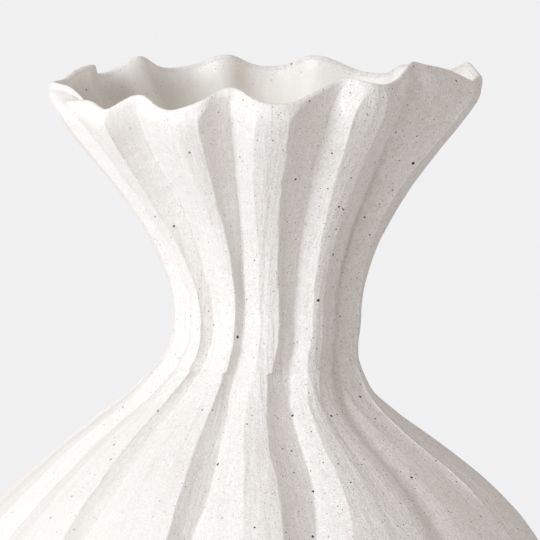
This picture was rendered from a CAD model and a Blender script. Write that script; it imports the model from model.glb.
"""A hand-fluted stoneware vase with a ruffled mouth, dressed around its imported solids."""

import math

import bpy
import numpy as np
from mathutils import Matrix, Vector


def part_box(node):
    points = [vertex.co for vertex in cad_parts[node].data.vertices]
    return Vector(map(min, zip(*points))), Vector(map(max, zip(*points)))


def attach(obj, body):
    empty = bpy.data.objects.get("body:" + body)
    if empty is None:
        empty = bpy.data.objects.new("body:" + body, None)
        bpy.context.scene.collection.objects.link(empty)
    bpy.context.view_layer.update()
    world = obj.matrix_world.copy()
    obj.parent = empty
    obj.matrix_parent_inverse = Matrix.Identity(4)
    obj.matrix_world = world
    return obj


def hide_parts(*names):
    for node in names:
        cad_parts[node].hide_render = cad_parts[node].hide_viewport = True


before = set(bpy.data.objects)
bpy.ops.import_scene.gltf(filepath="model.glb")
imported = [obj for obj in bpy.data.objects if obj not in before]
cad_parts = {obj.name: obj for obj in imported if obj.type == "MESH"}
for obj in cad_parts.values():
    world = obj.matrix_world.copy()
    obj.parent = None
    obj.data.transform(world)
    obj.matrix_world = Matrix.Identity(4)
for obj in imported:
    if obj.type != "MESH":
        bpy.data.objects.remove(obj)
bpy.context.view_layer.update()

MM = 0.001

# A level says how high a point lies: 1 at the rim, 0 at the waist, -1 at the widest level
# and -2 at the top of the base slab.
RIM, WAIST, SHOULDER, BELLY, FOOT = 1.0, 0.0, -0.45, -1.0, -2.0

# Sizes in metres that the solids' boxes give
FOOT_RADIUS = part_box("base_slab")[1][0]
SLAB_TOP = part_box("base_slab")[1][2]
SEAM_LOW, SEAM_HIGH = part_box("waist_slip")[0][2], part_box("waist_slip")[1][2]

# Sizes in metres that they don't give
BELLY_RISE, SHOULDER_RISE, FLARE_RISE = 80 * MM, 128 * MM, 93.5 * MM
BELLY_RADIUS, WAIST_RADIUS, MOUTH_RADIUS = 124.0 * MM, 36.2 * MM, 83.3 * MM
NECK_OFFSET = 5.8 * MM
WALL, LIP_WALL, GLAZE = 6 * MM, 3.4 * MM, 0.6 * MM
FOLD_DEPTHS = [(FOOT, 1.0 * MM), (BELLY, 8.0 * MM), (SHOULDER, 9.2 * MM), (WAIST, 4.4 * MM), (RIM, 9.2 * MM)]
RIM_WAVE, WAVE_POWER, RIM_BUMP_POWER = 10 * MM, 3, 12
FOOT_RING_WIDTH, FOOT_RECESS, FOOT_TAPER, FOOT_ROUND = 9 * MM, 2 * MM, 1.5 * MM, 1 * MM

BELLY_HEIGHT = SLAB_TOP + BELLY_RISE
WAIST_HEIGHT = BELLY_HEIGHT + SHOULDER_RISE
RIM_HEIGHT = WAIST_HEIGHT + FLARE_RISE

# The outline above the waist, under it and under the belly: place and share of the way out
FLARE_SHARES = [
    (0.0, 0.0), (0.1, 0.006), (0.21, 0.055), (0.35, 0.163), (0.47, 0.3),
    (0.58, 0.447), (0.70, 0.63), (0.82, 0.815), (0.92, 0.946), (1.0, 1.0),
]
SHOULDER_SHARES = [
    (0.0, 0.0), (0.05, 0.004), (0.105, 0.027), (0.155, 0.073), (0.205, 0.132), (0.28, 0.263),
    (0.39, 0.472), (0.51, 0.67), (0.633, 0.83), (0.775, 0.941), (0.88, 0.985), (1.0, 1.0),
]
BELLY_SHARES = [
    (0.0, 0.0), (0.08, 0.19), (0.2, 0.44), (0.34, 0.66),
    (0.5, 0.82), (0.68, 0.93), (0.85, 0.984), (1.0, 1.0),
]
# How far the neck leans off the axis, and how much of the folds shows on the inside
AXIS_SHARES = [
    (BELLY, 0.0), (-0.8, 0.1), (-0.55, 0.2), (-0.43, 0.12), (-0.3, -0.12), (-0.2, 0.06), (-0.1, 0.57),
    (WAIST, 1.0), (0.35, 0.97), (0.5, 0.9), (0.73, 0.82), (0.9, 0.9), (RIM, 1.0),
]
INNER_FOLD_SHARES = [(FOOT, 0.0), (BELLY, 0.6), (SHOULDER, 0.6), (WAIST, 0.35), (0.5, 0.6), (RIM, 0.92)]

# Twelve folds: a valley and the left and right edges of a crest. Each line's degrees from the
# front are given at these levels, from the rim down.
STATIONS = [RIM, 0.88, 0.51, WAIST, -0.28, -0.58]
FOLD_ANGLES = [
    [(-97, -95, -93, -92, -92, -92), (-91, -86, -83, -83, -84, -85), (-82, -77, -73, -73, -74, -73)],
    [(-77, -66, -62, -64, -69, -69), (-67, -57, -57, -52, -56, -57), (-47, -46, -49, -42.5, -45, -45)],
    [(-40.5, -41, -40, -39.4, -40.2, -42.3), (-24.5, -23.6, -23.5, -22, -31, -34),
     (-17.7, -17.7, -18, -19, -18.7, -19.3)],
    [(-10, -9.6, -11.8, -16.8, -11.2, -15.8), (-2, -2.9, -3.7, -3.4, -1.8, -2.8),
     (6.5, 6.8, 6.4, 7.2, 7.8, 6.5)],
    [(23.5, 20.3, 20.3, 19.9, 20.9, 14.2), (27, 25, 26.3, 28.5, 27.3, 21.5),
     (33, 34, 35, 36.5, 34, 30.5)],
    [(49, 47, 54.5, 59.8, 50.5, 46.1), (74, 68, 62, 75.5, 70.3, 67.6), (88, 86, 84, 91, 87, 83)],
    [(97, 98, 98, 103, 98, 94), (118, 117, 114, 111, 105, 102), (127, 126, 123, 119, 114, 111)],
    [(134, 134, 131, 126, 124, 121), (144, 143, 140, 136, 134, 131), (153, 152, 149, 146, 144, 141)],
    [(166, 165, 161, 156, 155, 152), (174, 173, 169, 165, 165, 162), (184, 183, 179, 175, 175, 172)],
    [(193, 192, 188, 184, 184, 181), (201, 200, 197, 193, 193, 190), (210, 209, 207, 203, 203, 200)],
    [(223, 220, 216, 212, 212, 210), (228, 227, 225, 221, 221, 219), (237, 236, 234, 231, 231, 229)],
    [(245.5, 244, 242, 240, 240, 239), (252, 252, 251, 249, 249, 248), (258, 260, 260, 258, 258, 258)],
]
# How high the rim stands at each line of a fold, as a share of the wave
RIM_WAVE_SHARES = [
    (-0.28, -0.25, -0.12), (-0.8, -0.64, -0.92), (-0.06, -0.6, -0.33), (0.32, -0.3, -0.38),
    (0.54, 0.38, 0.2), (0.95, -0.04, 0.04), (0.45, -0.12, -0.35), (0.2, -0.5, -0.5),
    (0.24, -0.3, -0.37), (0.31, -0.27, -0.34), (0.39, -0.38, -0.3), (0.22, 0.05, -0.3),
]
# How deep each line lies at the rim and each valley on the body, as a share of the fold's depth
RIM_DEPTH_SHARES = [
    (0.1, 0, 0), (1.2, 0, 0), (1, 0, 0), (1, 0, 0), (1, 0, 0), (1, 0, 0),
    (0.35, 0, 0), (1, 0, 0), (1, 0, 0), (1, 0, 0), (1, 0, 0), (1, 0.5, 0.2),
]
BODY_DEPTH_SHARES = [0.65, 0.7, 0.8, 0.92, 1.05, 0.65, 0.8, 0.95, 0.75, 0.9, 0.8, 0.7]
BODY_DEPTH_END, RIM_DEPTH_START = -0.28, 0.4
# Extra rises and dips of the rim between fold lines: degrees, half width in degrees, height
RIM_BUMPS = [
    (-79.5, 2.2, 1.6 * MM), (-55, 9, 2.6 * MM), (-31, 8, -2.4 * MM), (40, 5, -1.6 * MM),
    (64, 9, 1.3 * MM), (137, 6, -1.3 * MM), (160, 8, 1.2 * MM), (187, 6, 1.1 * MM), (226, 6, 0.7 * MM),
]
LINES_PER_FOLD = 3
LINE_COUNT = len(FOLD_ANGLES) * LINES_PER_FOLD
BETWEEN_DEPTHS = np.array([1, 0, 0] * len(FOLD_ANGLES))
BODY_DEPTHS = BETWEEN_DEPTHS * np.repeat(BODY_DEPTH_SHARES, LINES_PER_FOLD)
RIM_DEPTHS = np.array(RIM_DEPTH_SHARES).ravel()
RIM_WAVES = np.array(RIM_WAVE_SHARES).ravel()

# How far each kind of edge is rounded off: a valley, a crest's left and right edge
EDGE_ROUNDING = np.array([0.7, 0.5, 0.4] * len(FOLD_ANGLES)) * MM
# At the rim the edges melt into smooth waves, and on the inside they are soft everywhere
RIM_ROUNDING = np.array([
    3, 4, 8, 1.5, 4, 3, 9, 9, 9, 9, 8, 8, 4, 4, 4, 2.5, 2, 2,
    3, 9, 9, 10, 9, 9, 10, 9, 9, 10, 9, 9, 10, 9, 9, 8, 6, 4,
]) * MM
INNER_ROUNDING = 5 * MM
RIM_MELT_START = 0.93
# How far the hand-cut edges wander in and out and sideways, and how many rows apart
EDGE_INSET = 0.3 * MM
EDGE_INS = [(0.2 * MM, 14), (0.1 * MM, 5)]
EDGE_WANDERS = [(0.45 * MM, 16), (0.2 * MM, 6), (0.1 * MM, 3)]
# Seeds of the neck's and the body's edges, and how far after them the sideways ones start
NECK_SEED, BODY_SEED, WANDER_SEED_STEP = 11, 23, 10
# How much deeper the tool went into the valleys of the neck and of the body: the level in
# the middle of each cut, how far it reaches, and its depth in mm at every fold
GROOVES = [
    (0.3, 0.65, (0.5, 0.4, 0.4, 0.6, 0.8, 3.2, 0.8, 0.5, 0.8, 0.6, 0.9, 0.5)),
    (-0.55, 0.45, (0.3, 0.5, 0.9, 1.7, 0.4, 0.3, 0.3, 0.6, 0.4, 0.3, 0.5, 0.4)),
]
# How far each edge of the body stands to the side of its edge on the neck at the seam
SEAM_STEPS = np.array(
    [0.1, -0.2, 0.3, 0.2, -0.3, 0.7, -0.2, 0.2, -0.9, 0.3, -0.2, -1.9, 0.1, 0.4, 0.8, -0.2, 0.1, -0.2]
    + [0.3, -0.2, 0.4, -0.3, 0.1, 0.3] * 3
) * MM
SEAM_STEP_REACH = 5 * MM
# Rows up to this far above the body's top edge still count as the body's
SEAM_MARGIN = 0.6 * MM
# Edges that kept a thin raised burr, and how high it stands
BURRS = np.zeros(LINE_COUNT)
BURRS[[5, 16]] = (0.25 * MM, 0.9 * MM)
BURR_START, BURR_END, BURR_FADE = -0.5, 0.99, 0.06
# The outer face rolls in towards the lip: how far, and from which level
LIP_ROLL, LIP_ROLL_START = 1.0 * MM, 0.95
# The glaze thins out towards the rim
GLAZE_FADE, GLAZE_EDGE_SHARE = 0.08, 0.1
# The facets after a valley, along a crest and after a crest: where their points lie across
# them, and how far each point stands out, both as shares of the facet's width
FACET_PLACES = np.array([
    (0.08, 0.16, 0.24, 0.42, 0.62, 0.82),
    (0.15, 0.3, 0.48, 0.56, 0.7, 0.85),
    (0.15, 0.3, 0.5, 0.7, 0.85, 0.94),
])
FACET_RISES = np.array([
    (0.030, 0.052, 0.060, 0.050, 0.034, 0.016),
    (0.015, 0.030, 0.043, 0.043, 0.030, 0.015),
    (-0.012, -0.022, -0.028, -0.024, -0.014, -0.006),
])
FACET_HEIGHTS = np.tile(FACET_RISES.T, len(FOLD_ANGLES))
# Above the belly some facets are curved more, and the one after the fifth crest has a ridge
UPPER_HEIGHTS = FACET_HEIGHTS.copy()
UPPER_HEIGHTS[:, [8, 11, 15, 16]] *= (1.5, 2.2, 1.8, 1.6)
UPPER_HEIGHTS[:, 14] = (0.035, 0.07, 0.115, 0.15, 0.06, 0.02)
UPPER_START, UPPER_FULL = -0.9, -0.5
CORNER_STEPS = 4
# A rounded edge takes at most this share of the facets beside it
EDGE_ROOM = 0.45
# How far up and down, in levels, the wall's slope is measured
SLOPE_REACH = 0.01

# How far apart the rows of each mesh are
NECK_STEP, BODY_STEP, GLAZE_STEP = 0.8 * MM, 1.3 * MM, 2.3 * MM
INNER_NECK_STEP, INNER_STEP = 4 * MM, 5 * MM
OUTLINE_SAMPLES, LIP_STEPS, SLAB_COLUMNS = 2000, 9, 256
# Where the slip's rows lie between the body's and the neck's edge
SLIP_SHARES = (0, 0.25, 0.75, 1)

# The photograph's view: its camera, one window lamp and the soft fill
CAMERA_AIM = (7.4 * MM, 0, 236 * MM)
CAMERA_DISTANCE, FRAME_WIDTH, CAMERA_TILT = 2.2, 205.2 * MM, 6.8
SENSOR_MM = 36
WINDOW_PLACE, WINDOW_AIM = (-1.15, -1.314, 0.655), (0, 0, 0.22)
WINDOW_SIZE, WINDOW_POWER, WINDOW_COLOUR = 1.1, 23.2, (0.848, 0.94, 1.0)
FILL_LEFT, FILL_RIGHT, FILL_COLOUR = 0.77, 0.585, (1.0, 0.945, 0.915)
BACKDROP_COLOUR, FLOOR_COLOUR = (0.875, 0.875, 0.885), (0.86, 0.86, 0.87)
FLOOR_SIZE, FLOOR_FADE = 4, (0.3, 0.65)


def smooth_value(table, places):
    """Heights of a smooth curve through (place, value) pairs, at an array of places."""
    table = sorted(table)
    xs = np.array([p for p, _ in table])
    ys = np.array([v for _, v in table])
    at = np.clip(places, xs[0], xs[-1])
    i = np.clip(np.searchsorted(xs, at, side="left") - 1, 0, len(xs) - 2)
    before, after = np.maximum(i - 1, 0), np.minimum(i + 2, len(xs) - 1)
    start_slope = (ys[i + 1] - ys[before]) / (xs[i + 1] - xs[before])
    end_slope = (ys[after] - ys[i]) / (xs[after] - xs[i])
    span = xs[i + 1] - xs[i]
    t = (at - xs[i]) / span
    return (
        ys[i] * (1 + 2 * t) * (1 - t) ** 2
        + ys[i + 1] * t * t * (3 - 2 * t)
        + span * t * (1 - t) * (start_slope * (1 - t) - end_slope * t)
    )


def height(level):
    """The height in metres of a level."""
    upper = WAIST_HEIGHT + level * np.where(level >= WAIST, FLARE_RISE, SHOULDER_RISE)
    return np.where(level >= BELLY, upper, BELLY_HEIGHT + (level - BELLY) * BELLY_RISE)


def level_at(z):
    """The level of a height in metres."""
    z = np.asarray(z, float)
    upper = (z - WAIST_HEIGHT) / np.where(z >= WAIST_HEIGHT, FLARE_RISE, SHOULDER_RISE)
    return np.where(z >= BELLY_HEIGHT, upper, BELLY + (z - BELLY_HEIGHT) / BELLY_RISE)


def crest_radius(level):
    """How far the crests stand from the axis."""
    flare = smooth_value(FLARE_SHARES, level) * (MOUTH_RADIUS - WAIST_RADIUS) + WAIST_RADIUS
    shoulder = smooth_value(SHOULDER_SHARES, -level) * (BELLY_RADIUS - WAIST_RADIUS) + WAIST_RADIUS
    belly = smooth_value(BELLY_SHARES, level - FOOT) * (BELLY_RADIUS - FOOT_RADIUS) + FOOT_RADIUS
    return np.where(level >= WAIST, flare, np.where(level >= BELLY, shoulder, belly))


def steepness(level):
    """How much wider than its true thickness a slanting wall is when cut level."""
    low, high = np.maximum(level - SLOPE_REACH, FOOT), np.minimum(level + SLOPE_REACH, RIM)
    run = crest_radius(high) - crest_radius(low)
    rise = height(high) - height(low)
    return np.hypot(run, rise) / rise


def wall_thickness(level):
    return (WALL + np.maximum(level, WAIST) * (LIP_WALL - WALL)) * steepness(level)


def axis_x(level):
    return NECK_OFFSET * smooth_value(AXIS_SHARES, level)


def drift(rows, columns, row_knots, column_knots, seed):
    """Smooth random values, about -1 to 1, over a grid that closes on itself sideways."""
    knots = np.random.default_rng(seed).uniform(-1, 1, (row_knots + 3, column_knots))

    def spread(values, places, wrap):
        base = np.floor(places).astype(int)
        t = (places - base)[:, None]
        size = len(values)
        picks = [(base + k) % size if wrap else np.clip(base + k, 0, size - 1) for k in (-1, 0, 1, 2)]
        a, b, c, d = (values[p] for p in picks)
        return b + 0.5 * t * (c - a + t * (2 * a - 5 * b + 4 * c - d + t * (3 * (b - c) + d - a)))

    tall = spread(knots, 1 + np.linspace(0, row_knots, rows), False)
    return spread(tall.T, np.arange(columns) * column_knots / columns, True).T


def line_corners(levels, skin, seed):
    """Where every fold line passes each level: x, y and z, rows by lines."""
    levels = np.asarray(levels, float)
    angles = np.radians([
        smooth_value(list(zip(STATIONS, line)), levels) for fold in FOLD_ANGLES for line in fold
    ]).T
    crest = crest_radius(levels)[:, None]
    depth = smooth_value(FOLD_DEPTHS, levels)[:, None]
    rim_ease = (np.maximum(levels - RIM_DEPTH_START, 0) / (RIM - RIM_DEPTH_START))[:, None]
    body_ease = np.clip((WAIST - levels) / (WAIST - BODY_DEPTH_END), 0, 1)[:, None]
    shares = (
        BETWEEN_DEPTHS
        + (RIM_DEPTHS - BETWEEN_DEPTHS) * rim_ease
        + (BODY_DEPTHS - BETWEEN_DEPTHS) * body_ease
    )
    outer = crest - depth * shares
    if skin == "outer":
        rows = len(levels)
        roll = np.clip((levels - LIP_ROLL_START) / (RIM - LIP_ROLL_START), 0, 1)[:, None] ** 2
        radius = outer - EDGE_INSET - LIP_ROLL * roll
        for middle, reach, depths in GROOVES:
            share = np.clip(1 - ((levels - middle) / reach) ** 2, 0, 1)[:, None]
            radius = radius - share * BETWEEN_DEPTHS * np.repeat(depths, LINES_PER_FOLD) * MM
        for number, (amount, rows_apart) in enumerate(EDGE_INS):
            radius = radius + amount * drift(rows, LINE_COUNT, rows // rows_apart, LINE_COUNT, seed + number)
        for number, (amount, rows_apart) in enumerate(EDGE_WANDERS, WANDER_SEED_STEP):
            wander = drift(rows, LINE_COUNT, rows // rows_apart, LINE_COUNT, seed + number)
            angles = angles + amount / radius * wander
        under_seam = np.clip(SEAM_LOW - height(levels), 0, None)[:, None]
        on_body = (levels < level_at(SEAM_LOW + SEAM_MARGIN))[:, None]
        step = SEAM_STEPS * np.exp(-under_seam / SEAM_STEP_REACH) * on_body
        angles = angles + step / radius
    else:
        middle = crest - depth / 2
        keep = smooth_value(INNER_FOLD_SHARES, levels)[:, None]
        radius = middle - wall_thickness(levels)[:, None] + keep * (outer - middle)
        if skin == "glaze":
            film = np.clip((RIM - levels) / GLAZE_FADE, GLAZE_EDGE_SHARE, 1)
            radius = radius - (GLAZE * steepness(levels) * film)[:, None]
    lift = RIM_WAVE * np.maximum(levels, WAIST)[:, None] ** WAVE_POWER * RIM_WAVES
    return np.stack([
        axis_x(levels)[:, None] + radius * np.sin(angles),
        -radius * np.cos(angles),
        height(levels)[:, None] + lift,
    ], axis=-1)


def round_corners(corners, rounding, rises, burrs):
    """Turns each level's corners into a closed line of facets with rounded edges."""
    after = np.roll(corners, -1, axis=1)
    gap = after - corners
    length = np.linalg.norm(gap, axis=-1, keepdims=True)
    room = EDGE_ROOM * np.minimum(length, np.roll(length, 1, axis=1))
    reach = np.minimum(rounding[..., None], room)
    leave = corners + gap / length * reach
    arrive = corners - np.roll(gap / length, 1, axis=1) * reach
    outward = np.stack([gap[..., 1], -gap[..., 0], np.zeros(gap.shape[:2])], axis=-1)
    facing = outward / length
    facing = (facing + np.roll(facing, 1, axis=1)) / 2
    columns = []
    for step in range(CORNER_STEPS + 1):
        t = step / CORNER_STEPS
        corner = (1 - t) ** 2 * arrive + 2 * t * (1 - t) * corners + t * t * leave
        columns.append(corner + facing * burrs[..., None] * math.sin(math.pi * t))
    target = np.roll(arrive, -1, axis=1)
    for number, places in enumerate(FACET_PLACES.T):
        t = np.tile(places, len(FOLD_ANGLES))[:, None]
        columns.append(leave + (target - leave) * t + outward * rises[:, number, :, None])
    grid = np.stack(columns, axis=2)
    return grid.reshape(grid.shape[0], -1, 3)


def add_rim_bumps(rows, levels):
    """Lifts the wall near the rim where it waves between two fold lines."""
    share = np.maximum(levels, WAIST)[:, None] ** RIM_BUMP_POWER
    angles = np.degrees(np.arctan2(rows[..., 0] - axis_x(levels)[:, None], -rows[..., 1]))
    for middle, half_width, rise in RIM_BUMPS:
        away = (angles - middle + 180) % 360 - 180
        rows[..., 2] += rise * share * np.exp(-((away / half_width) ** 2) * 1.5)
    return rows


def skin_rows(levels, skin, seed=0):
    """Rows of points at the levels, on the outer or inner face of the clay or on the glaze."""
    levels = np.asarray(levels, float)
    corners = line_corners(levels, skin, seed)
    melt = np.clip((levels - RIM_MELT_START) / (RIM - RIM_MELT_START), 0, 1)[:, None] ** 2
    edge = EDGE_ROUNDING if skin == "outer" else INNER_ROUNDING * np.ones(LINE_COUNT)
    rounding = edge + (RIM_ROUNDING - edge) * melt
    burr_share = np.clip(np.minimum(levels - BURR_START, BURR_END - levels) / BURR_FADE, 0, 1)
    burrs = (burr_share * (skin == "outer"))[:, None] * BURRS
    upper = np.clip((levels - UPPER_START) / (UPPER_FULL - UPPER_START), 0, 1)[:, None, None]
    rises = FACET_HEIGHTS + (UPPER_HEIGHTS - FACET_HEIGHTS) * upper
    rises = rises * (1 - melt[..., None]) * (skin == "outer")
    return add_rim_bumps(round_corners(corners, rounding, rises, burrs), levels)


def spaced_levels(low, high, step):
    """Levels from one height to another, evenly spaced along the outline."""
    fine = np.linspace(low, high, OUTLINE_SAMPLES)
    levels = level_at(fine)
    travel = np.concatenate([[0], np.cumsum(np.hypot(np.diff(crest_radius(levels)), np.diff(fine)))])
    count = max(int(travel[-1] / step), 2)
    return level_at(np.interp(np.linspace(0, travel[-1], count + 1), travel, fine))


def lip_rows(outer_end, inner_end):
    """Rows that go round the rim from its outer to its inner edge."""
    rows = []
    across = inner_end - outer_end
    for step in range(1, LIP_STEPS):
        turn = math.pi * step / LIP_STEPS
        share = (1 - math.cos(turn)) / 2
        rows.append(outer_end + across * share + np.array([0, 0, LIP_WALL / 2 * math.sin(turn)]))
    return np.array(rows)


def make_mesh(name, vertices, faces, material, node, sharp_rings):
    """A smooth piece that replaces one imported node; its edges along the sharp rings stay sharp."""
    mesh = bpy.data.meshes.new(name)
    mesh.from_pydata([tuple(v) for v in vertices], [], faces)
    mesh.polygons.foreach_set("use_smooth", [True] * len(mesh.polygons))
    ring_of = {vertex: number for number, sharp in enumerate(sharp_rings) for vertex in sharp}
    for edge in mesh.edges:
        a, b = edge.vertices
        if a in ring_of and ring_of.get(a) == ring_of.get(b):
            edge.use_edge_sharp = True
    mesh.materials.append(material)
    mesh.update()
    piece = bpy.data.objects.new(name, mesh)
    bpy.context.scene.collection.objects.link(piece)
    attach(piece, "root")
    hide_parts(node)
    return piece


def grid_faces(rows, columns, closed_up):
    """Quads over rows of a closed ring; the last row joins the first when closed_up."""
    faces = []
    for row in range(rows if closed_up else rows - 1):
        above = (row + 1) % rows
        for column in range(columns):
            beside = (column + 1) % columns
            faces.append((
                row * columns + column, row * columns + beside,
                above * columns + beside, above * columns + column,
            ))
    return faces


def ring(row, columns):
    return range(row * columns, (row + 1) * columns)


def make_wall(name, rows, sharp_rows, material, node):
    """A wall from rows that run up its outside and back down its inside."""
    columns = rows.shape[1]
    faces = grid_faces(len(rows), columns, True)
    sharp = [ring(row, columns) for row in sharp_rows]
    return make_mesh(name, rows.reshape(-1, 3), faces, material, node, sharp)


def make_neck(material, outer):
    """The flared collar: up the outside, over the lip and down the inside."""
    inner = skin_rows(spaced_levels(SEAM_HIGH, RIM_HEIGHT, INNER_NECK_STEP)[::-1], "inner")
    rows = np.concatenate([outer, lip_rows(outer[-1], inner[0]), inner])
    return make_wall("vase_neck", rows, (0, len(rows) - 1), material, "flared_neck")


def make_body(material, outer):
    """The bulbous wall, from the slab to the seam and back down the inside."""
    inner = skin_rows(spaced_levels(SLAB_TOP, SEAM_LOW, INNER_STEP)[::-1], "inner")
    rows = np.concatenate([outer, inner])
    sharp_rows = (0, len(outer) - 1, len(outer), len(rows) - 1)
    return make_wall("vase_body", rows, sharp_rows, material, "lower_body")


def make_slip(material, below, above):
    """The thin ring of slip that bridges the seam between the body's and the neck's outer face."""
    levels = level_at(np.linspace(SEAM_LOW, SEAM_HIGH, len(SLIP_SHARES)))
    outer = np.array([below + (above - below) * share for share in SLIP_SHARES])
    rows = np.concatenate([outer, skin_rows(levels[::-1], "inner")])
    sharp_rows = (0, len(outer) - 1, len(outer), len(rows) - 1)
    return make_wall("vase_waist_slip", rows, sharp_rows, material, "waist_slip")


def make_lining(material):
    """The glaze: down the clay from the rim, across the floor, and back up its own face."""
    clay = skin_rows(spaced_levels(SLAB_TOP, RIM_HEIGHT, INNER_STEP)[::-1], "inner")
    glaze_levels = spaced_levels(SLAB_TOP + GLAZE, RIM_HEIGHT, GLAZE_STEP)
    glaze = skin_rows(glaze_levels, "glaze")
    columns = clay.shape[1]
    vertices = np.concatenate([clay.reshape(-1, 3), glaze.reshape(-1, 3)])
    clay_count = len(clay) * columns
    under, floor = len(vertices), len(vertices) + 1
    vertices = np.concatenate([vertices, [[0, 0, SLAB_TOP]], [[0, 0, SLAB_TOP + GLAZE]]])
    faces = grid_faces(len(clay), columns, False)
    faces += [tuple(clay_count + v for v in face) for face in grid_faces(len(glaze), columns, False)]
    last_clay, first_glaze = (len(clay) - 1) * columns, clay_count
    last_glaze = clay_count + (len(glaze) - 1) * columns
    for column in range(columns):
        beside = (column + 1) % columns
        faces.append((last_clay + column, last_clay + beside, under))
        faces.append((first_glaze + beside, first_glaze + column, floor))
        faces.append((last_glaze + column, last_glaze + beside, beside, column))
    sharp = [range(columns), range(last_glaze, last_glaze + columns)]
    piece = make_mesh("vase_glaze_lining", vertices, faces, material, "glaze_lining", sharp)
    glazed = piece.data.attributes.new("glazed", "FLOAT", "POINT")
    share = np.ones((len(glaze), columns)) * np.clip((RIM - glaze_levels) / GLAZE_FADE, 0, 1)[:, None]
    glazed.data.foreach_set("value", np.concatenate([np.ones(clay_count), share.ravel(), [1, 1]]))
    return piece


def make_slab(material):
    """The turned base with its foot ring."""
    ring_inside = FOOT_RADIUS - FOOT_RING_WIDTH
    outline = [
        (0.25 * ring_inside, FOOT_RECESS), (0.6 * ring_inside, FOOT_RECESS),
        (ring_inside - FOOT_ROUND, FOOT_RECESS), (ring_inside, FOOT_RECESS - 0.4 * FOOT_ROUND),
        (ring_inside + 0.3 * FOOT_ROUND, 0.3 * FOOT_ROUND), (ring_inside + FOOT_ROUND, 0.0),
        (FOOT_RADIUS - FOOT_TAPER - FOOT_ROUND, 0.0),
        (FOOT_RADIUS - FOOT_TAPER - 0.2 * FOOT_ROUND, 0.2 * FOOT_ROUND),
        (FOOT_RADIUS - FOOT_TAPER + 0.2 * FOOT_ROUND, FOOT_ROUND),
        (FOOT_RADIUS - 0.3 * FOOT_TAPER, 0.7 * SLAB_TOP), (FOOT_RADIUS, SLAB_TOP),
        (0.5 * FOOT_RADIUS, SLAB_TOP),
    ]
    columns = SLAB_COLUMNS
    vertices = [
        (r * math.sin(2 * math.pi * c / columns), -r * math.cos(2 * math.pi * c / columns), z)
        for r, z in outline for c in range(columns)
    ]
    faces = grid_faces(len(outline), columns, False)
    bottom, top = len(vertices), len(vertices) + 1
    vertices += [(0, 0, FOOT_RECESS), (0, 0, SLAB_TOP)]
    last = (len(outline) - 1) * columns
    for column in range(columns):
        beside = (column + 1) % columns
        faces.append((beside, column, bottom))
        faces.append((last + column, last + beside, top))
    recess_corner, ring_corner, upper_edge = 3, 4, 10
    sharp = [ring(row, columns) for row in (upper_edge, ring_corner, recess_corner)]
    return make_mesh("vase_base_slab", vertices, faces, material, "base_slab", sharp)


# The radius at which a lengthwise noise keeps its scale around the vase
STREAK_RADIUS = 70 * MM
# Specks of iron, and last the clay's pale ones: spacing in mm, smallest and largest size as
# shares of it, chance, strength and colour
CLAY_SPECKS = [
    (1.1, 0.10, 0.26, 0.7, 0.34, (0.42, 0.34, 0.29)),
    (2.2, 0.06, 0.14, 0.8, 0.55, (0.27, 0.20, 0.16)),
    (4.0, 0.04, 0.10, 0.8, 0.7, (0.12, 0.09, 0.07)),
    (7.5, 0.045, 0.09, 0.55, 0.92, (0.05, 0.04, 0.035)),
    (1.7, 0.08, 0.2, 0.4, 0.5, (0.93, 0.92, 0.91)),
]
GLAZE_SPECKS = [
    (1.4, 0.09, 0.22, 0.6, 0.30, (0.45, 0.38, 0.31)),
    (2.6, 0.06, 0.16, 0.9, 0.40, (0.30, 0.24, 0.17)),
    (6.0, 0.05, 0.09, 0.6, 0.65, (0.16, 0.12, 0.10)),
]

# Colours of the clay: its cloudy ground, its grain, pale and dark patches, scratches and nicks
CLAY_GROUND = (0.87, 0.842, 0.812), (0.895, 0.876, 0.852)
CLAY_GRAIN, PALE_PATCH, DARK_PATCH = (0.62, 0.58, 0.54), (0.90, 0.89, 0.87), (0.76, 0.70, 0.67)
SCRATCH_COLOUR, NICK_COLOUR = (0.50, 0.45, 0.41), (0.93, 0.92, 0.91)
CLAY_ROUGHNESS, CLAY_SPECULAR = (0.78, 0.92), 0.25
# How deep, in mm, the pressed planes, the combed lines and the fine grain are
PLANES_DEPTH, COMBED_DEPTH, FINE_DEPTH = 1.15, 0.17, 0.30
# Colours of the glaze: thicker on the left, thinner on the right
THICK_GLAZE = (0.615, 0.588, 0.53), (0.655, 0.625, 0.575)
THIN_GLAZE = (0.90, 0.872, 0.825), (0.935, 0.912, 0.87)
GLAZE_GRAIN = (0.62, 0.58, 0.53)
GLAZE_ROUGHNESS, ROUGHER_LEFT, GLAZE_SPECULAR = (0.32, 0.44), 0.14, 0.85
# How deep, in mm, the runs and the fine ripple of the glaze are
RUNS_DEPTH, RIPPLE_DEPTH = 0.8, 0.06


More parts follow.
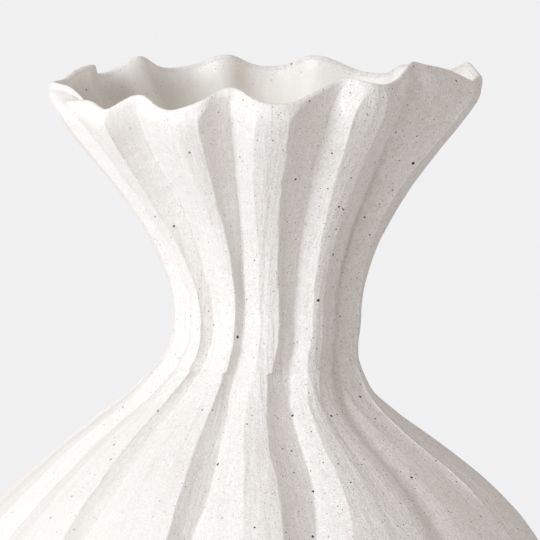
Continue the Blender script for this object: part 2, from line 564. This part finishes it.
class Nodes:
    """Short calls that add and link shader nodes."""

    def __init__(self, name):
        self.material = bpy.data.materials.new(name)
        self.material.use_nodes = True
        self.tree = self.material.node_tree
        self.shader = self.tree.nodes["Principled BSDF"]
        self.coords = self.add("ShaderNodeTexCoord").outputs["Object"]

    def add(self, kind, links=None, **values):
        node = self.tree.nodes.new(kind)
        for key, value in values.items():
            setattr(node, key, value)
        for socket, source in (links or {}).items():
            target = node.inputs[socket]
            if isinstance(source, bpy.types.NodeSocket):
                self.tree.links.new(source, target)
            else:
                target.default_value = source
        return node

    def noise(self, per_mm, detail=3, roughness=0.55, vector=None):
        return self.add("ShaderNodeTexNoise", {
            "Vector": vector or self.coords, "Scale": per_mm / MM, "Detail": detail, "Roughness": roughness,
        }).outputs["Fac"]

    def lengthwise(self, stretch):
        """Places drawn out along the height, so that a noise over them runs up the wall."""
        parts = self.add("ShaderNodeSeparateXYZ", {0: self.coords}).outputs
        flat = self.add("ShaderNodeCombineXYZ", {0: parts[0], 1: parts[1]}).outputs[0]
        around = self.add("ShaderNodeVectorMath", {0: flat}, operation="NORMALIZE").outputs[0]
        scaled = {0: around, "Scale": STREAK_RADIUS}
        around = self.add("ShaderNodeVectorMath", scaled, operation="SCALE").outputs[0]
        up = self.add("ShaderNodeCombineXYZ", {2: self.maths("MULTIPLY", parts[2], 1 / stretch)}).outputs[0]
        return self.add("ShaderNodeVectorMath", {0: around, 1: up}, operation="ADD").outputs[0]

    def across(self, low, high, low_value=0.0, high_value=1.0):
        """A value that changes from the vase's left to its right."""
        sideways = self.add("ShaderNodeSeparateXYZ", {0: self.coords}).outputs[0]
        return self.ramp(sideways, low * MM, high * MM, low_value, high_value)

    def rawness(self):
        """How little the wall was smoothed: the clay is finer on the left than on the right."""
        return self.across(-60, 50, 0.5, 1.7)

    def uneven(self, value, middle, strength):
        """A share that swings round its middle, and more where the clay is rawer."""
        swing = self.maths("MULTIPLY", self.maths("SUBTRACT", value, middle), self.rawness())
        return self.maths("MULTIPLY", self.maths("ADD", swing, middle), strength)

    def ramp(self, value, low, high, low_value=0.0, high_value=1.0):
        return self.add("ShaderNodeMapRange", {
            "Value": value, "From Min": low, "From Max": high, "To Min": low_value, "To Max": high_value,
        }).outputs["Result"]

    def maths(self, operation, a, b=0.0):
        return self.add("ShaderNodeMath", {0: a, 1: b}, operation=operation).outputs[0]

    def mix(self, share, a, b):
        node = self.add("ShaderNodeMix", {"Factor": share}, data_type="RGBA")
        for socket, colour in (("A", a), ("B", b)):
            target = [s for s in node.inputs if s.name == socket and s.type == "RGBA"][0]
            if isinstance(colour, bpy.types.NodeSocket):
                self.tree.links.new(colour, target)
            else:
                target.default_value = (*colour, 1)
        return [s for s in node.outputs if s.type == "RGBA"][0]

    def specks(self, spacing_mm, smallest, largest, chance):
        """1 inside scattered dots, each of its own size; sizes are shares of the spacing."""
        voronoi = self.add("ShaderNodeTexVoronoi", {"Vector": self.coords, "Scale": 1 / (spacing_mm * MM)})
        picks = self.add("ShaderNodeSeparateColor", {"Color": voronoi.outputs["Color"]}).outputs
        size = self.ramp(picks[1], 0, 1, smallest, largest)
        inside = self.maths("LESS_THAN", voronoi.outputs["Distance"], size)
        return self.maths("MULTIPLY", inside, self.maths("LESS_THAN", picks[0], chance))

    def shine(self, roughness, normal):
        self.tree.links.new(roughness, self.shader.inputs["Roughness"])
        self.tree.links.new(normal, self.shader.inputs["Normal"])

    def bump(self, value, depth_mm, below=None):
        links = {"Height": value, "Distance": depth_mm * MM}
        if below is not None:
            links["Normal"] = below
        return self.add("ShaderNodeBump", links).outputs["Normal"]


def clay_colour(n):
    """Off-white clay with a fine grain; returns the colour and the grain."""
    cloud = n.ramp(n.noise(0.035), 0.35, 0.65)
    colour = n.mix(cloud, *CLAY_GROUND)
    grain = n.ramp(n.noise(1.4, detail=4, roughness=0.8), 0.36, 0.68)
    return n.mix(n.uneven(grain, 0.5, 0.60), colour, CLAY_GRAIN), grain


def clay_material(name):
    """Bare fired stoneware: off-white, fine grained and speckled with iron."""
    n = Nodes(name)
    colour, grain = clay_colour(n)
    pale = n.ramp(n.noise(0.9, detail=3, roughness=0.7), 0.55, 0.75)
    colour = n.mix(n.maths("MULTIPLY", pale, 0.35), colour, PALE_PATCH)
    mottle = n.ramp(n.noise(0.45, detail=2, roughness=0.6), 0.45, 0.68)
    colour = n.mix(n.uneven(mottle, 0.4, 0.55), colour, DARK_PATCH)
    worked = n.ramp(n.noise(0.06, detail=2), 0.42, 0.62)
    streak = n.maths("MULTIPLY", n.noise(1.3, detail=3, roughness=0.65, vector=n.lengthwise(12)), worked)
    scratch = n.ramp(streak, 0.58, 0.70)
    colour = n.mix(n.maths("MULTIPLY", scratch, 0.16), colour, SCRATCH_COLOUR)
    nick = n.ramp(n.noise(0.8, detail=2, vector=n.lengthwise(6)), 0.64, 0.68)
    colour = n.mix(n.maths("MULTIPLY", nick, 0.5), colour, NICK_COLOUR)
    for spacing, smallest, largest, chance, strength, tint in CLAY_SPECKS:
        dots = n.maths("MULTIPLY", n.specks(spacing, smallest, largest, chance), n.rawness())
        colour = n.mix(n.maths("MULTIPLY", dots, strength), colour, tint)
    n.tree.links.new(colour, n.shader.inputs["Base Color"])
    planes = n.bump(n.noise(0.16, detail=3, vector=n.lengthwise(7)), PLANES_DEPTH)
    combed = n.bump(n.maths("MULTIPLY", streak, n.rawness()), COMBED_DEPTH, planes)
    pores = n.maths("MULTIPLY", n.noise(1.0, detail=4, roughness=0.75), n.rawness())
    fine = n.bump(pores, FINE_DEPTH, combed)
    n.shine(n.ramp(grain, 0, 1, *CLAY_ROUGHNESS), fine)
    n.shader.inputs["Specular IOR Level"].default_value = CLAY_SPECULAR
    return n.material


def glaze_material(name):
    """A clear satin glaze over the same clay: thinner, so paler, and shinier on the right."""
    n = Nodes(name)
    cloud = n.ramp(n.noise(0.04), 0.35, 0.65)
    colour = n.mix(n.across(-28, 22), n.mix(cloud, *THICK_GLAZE), n.mix(cloud, *THIN_GLAZE))
    grain = n.ramp(n.noise(1.2, detail=4, roughness=0.8), 0.36, 0.68)
    colour = n.mix(n.maths("MULTIPLY", grain, 0.22), colour, GLAZE_GRAIN)
    glazed = n.add("ShaderNodeAttribute", attribute_name="glazed").outputs["Fac"]
    colour = n.mix(glazed, clay_colour(n)[0], colour)
    for spacing, smallest, largest, chance, strength, tint in GLAZE_SPECKS:
        fading = n.across(-25, 15, 1.0, 0.4)
        dots = n.maths("MULTIPLY", n.specks(spacing, smallest, largest, chance), fading)
        colour = n.mix(n.maths("MULTIPLY", dots, strength), colour, tint)
    n.tree.links.new(colour, n.shader.inputs["Base Color"])
    runs = n.bump(n.noise(0.12, detail=3, vector=n.lengthwise(4)), RUNS_DEPTH)
    rough = n.ramp(n.noise(0.3), 0.3, 0.7, *GLAZE_ROUGHNESS)
    rough = n.maths("ADD", rough, n.across(-20, 10, ROUGHER_LEFT, 0.0))
    n.shine(rough, n.bump(n.noise(0.6, detail=2), RIPPLE_DEPTH, runs))
    n.shader.inputs["Specular IOR Level"].default_value = GLAZE_SPECULAR
    return n.material


def make_floor():
    """A pale floor that fades into the background away from the vase."""
    bpy.ops.mesh.primitive_plane_add(size=FLOOR_SIZE)
    floor = bpy.context.object
    floor.name = "floor"
    n = Nodes("floor")
    n.shader.inputs["Base Color"].default_value = (*FLOOR_COLOUR, 1)
    n.shader.inputs["Roughness"].default_value = 0.8
    n.shader.inputs["Specular IOR Level"].default_value = 0.1
    distance = n.add("ShaderNodeVectorMath", {0: n.coords}, operation="LENGTH").outputs["Value"]
    fade = n.ramp(distance, *FLOOR_FADE)
    clear = n.add("ShaderNodeBsdfTransparent").outputs[0]
    mixed = n.add("ShaderNodeMixShader", {0: fade, 1: n.shader.outputs[0], 2: clear}).outputs[0]
    n.tree.links.new(mixed, n.tree.nodes["Material Output"].inputs["Surface"])
    floor.data.materials.append(n.material)


def make_world():
    """Soft fill, weaker from the right, and a pale background where the camera looks past the vase."""
    world = bpy.data.worlds.new("studio")
    bpy.context.scene.world = world
    world.use_nodes = True
    tree = world.node_tree
    fill = tree.nodes["Background"]
    fill.inputs["Color"].default_value = (*FILL_COLOUR, 1)
    towards = tree.nodes.new("ShaderNodeTexCoord")
    across = tree.nodes.new("ShaderNodeSeparateXYZ")
    strength = tree.nodes.new("ShaderNodeMapRange")
    for socket, value in (
        ("From Min", -1), ("From Max", 1), ("To Min", FILL_LEFT), ("To Max", FILL_RIGHT),
    ):
        strength.inputs[socket].default_value = value
    tree.links.new(towards.outputs["Generated"], across.inputs[0])
    tree.links.new(across.outputs[0], strength.inputs["Value"])
    tree.links.new(strength.outputs["Result"], fill.inputs["Strength"])
    backdrop = tree.nodes.new("ShaderNodeBackground")
    backdrop.inputs["Color"].default_value = (*BACKDROP_COLOUR, 1)
    path = tree.nodes.new("ShaderNodeLightPath")
    mix = tree.nodes.new("ShaderNodeMixShader")
    tree.links.new(path.outputs["Is Camera Ray"], mix.inputs[0])
    tree.links.new(fill.outputs[0], mix.inputs[1])
    tree.links.new(backdrop.outputs[0], mix.inputs[2])
    tree.links.new(mix.outputs[0], tree.nodes["World Output"].inputs["Surface"])


def make_window():
    """The one lamp: a soft round window at the left, in front of the vase."""
    lamp = bpy.data.lights.new("window", "AREA")
    lamp.shape = "DISK"
    lamp.size = WINDOW_SIZE
    lamp.energy = WINDOW_POWER
    lamp.color = WINDOW_COLOUR
    light = bpy.data.objects.new("window", lamp)
    light.location = WINDOW_PLACE
    towards = Vector(WINDOW_AIM) - Vector(WINDOW_PLACE)
    light.rotation_euler = towards.to_track_quat("-Z", "Y").to_euler()
    bpy.context.scene.collection.objects.link(light)


def make_camera():
    """The photograph's view: the vase's upper part, from a little above the rim."""
    camera = bpy.data.cameras.new("photo")
    camera.sensor_width = SENSOR_MM
    view = bpy.data.objects.new("photo", camera)
    camera.lens = camera.sensor_width * CAMERA_DISTANCE / FRAME_WIDTH
    tilt = math.radians(CAMERA_TILT)
    towards = Vector((0, -math.cos(tilt), math.sin(tilt)))
    view.location = Vector(CAMERA_AIM) + CAMERA_DISTANCE * towards
    view.rotation_euler = (math.pi / 2 - tilt, 0, 0)
    camera.clip_end = 50
    bpy.context.scene.collection.objects.link(view)
    bpy.context.scene.camera = view


clay = clay_material("bare_clay")
slip = clay_material("joining_slip")
glaze = glaze_material("liner_glaze")

neck_face = skin_rows(spaced_levels(SEAM_HIGH, RIM_HEIGHT, NECK_STEP), "outer", NECK_SEED)
body_face = skin_rows(spaced_levels(SLAB_TOP, SEAM_LOW, BODY_STEP), "outer", BODY_SEED)
make_neck(clay, neck_face)
make_body(clay, body_face)
make_slab(clay)
make_slip(slip, body_face[-1], neck_face[0])
make_lining(glaze)

make_floor()
make_world()
make_window()
make_camera()
bpy.context.scene.view_settings.view_transform = "Standard"
